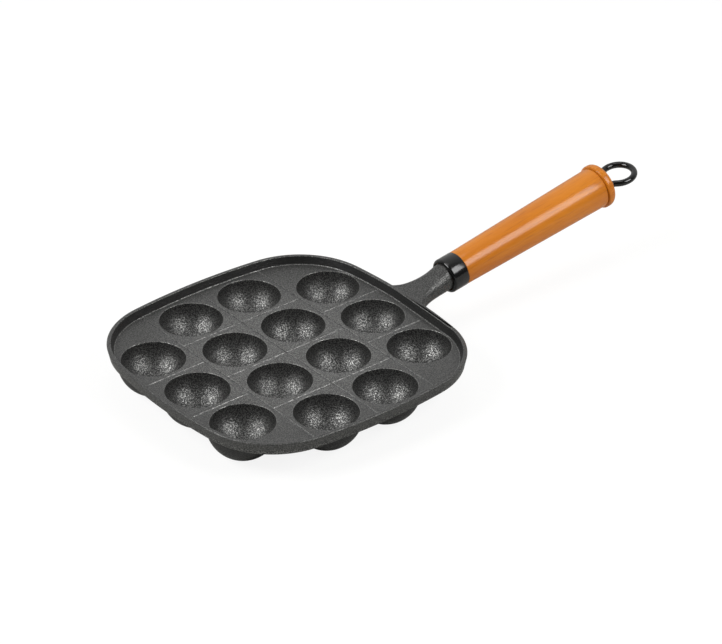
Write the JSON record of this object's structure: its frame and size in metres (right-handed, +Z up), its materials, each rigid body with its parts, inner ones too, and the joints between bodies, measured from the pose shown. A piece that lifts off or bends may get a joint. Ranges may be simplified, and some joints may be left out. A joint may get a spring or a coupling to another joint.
{
  "type": "takoyaki maker",
  "caption": "Shallow cast-iron dumpling pan with a rounded square rim, hemispherical cups in staggered columns, a flared neck and a turned wooden grip ending in a hanging loop.",
  "frame": {"origin": "on the resting plane, under the middle of the pan's rounded square", "axes": "+X along the handle away from the pan, +Z up out of the cups, +Y across the pan"},
  "size_m": [0.3837, 0.1934, 0.0648],
  "materials": {
    "cast_iron": "seasoned, fine sand-cast grain, satin",
    "black_enamel": "gloss black",
    "varnished_wood": "clear varnish, lengthwise grain",
    "plated_steel": "zinc plated",
    "black_wire": "gloss black"
  },
  "bodies": {
    "root": {"pan_casting": "cast_iron", "ferrule": "black_enamel", "wooden_grip": "varnished_wood", "end_washer": "plated_steel", "hanging_loop": "black_wire"}
  },
  "joints": []
}
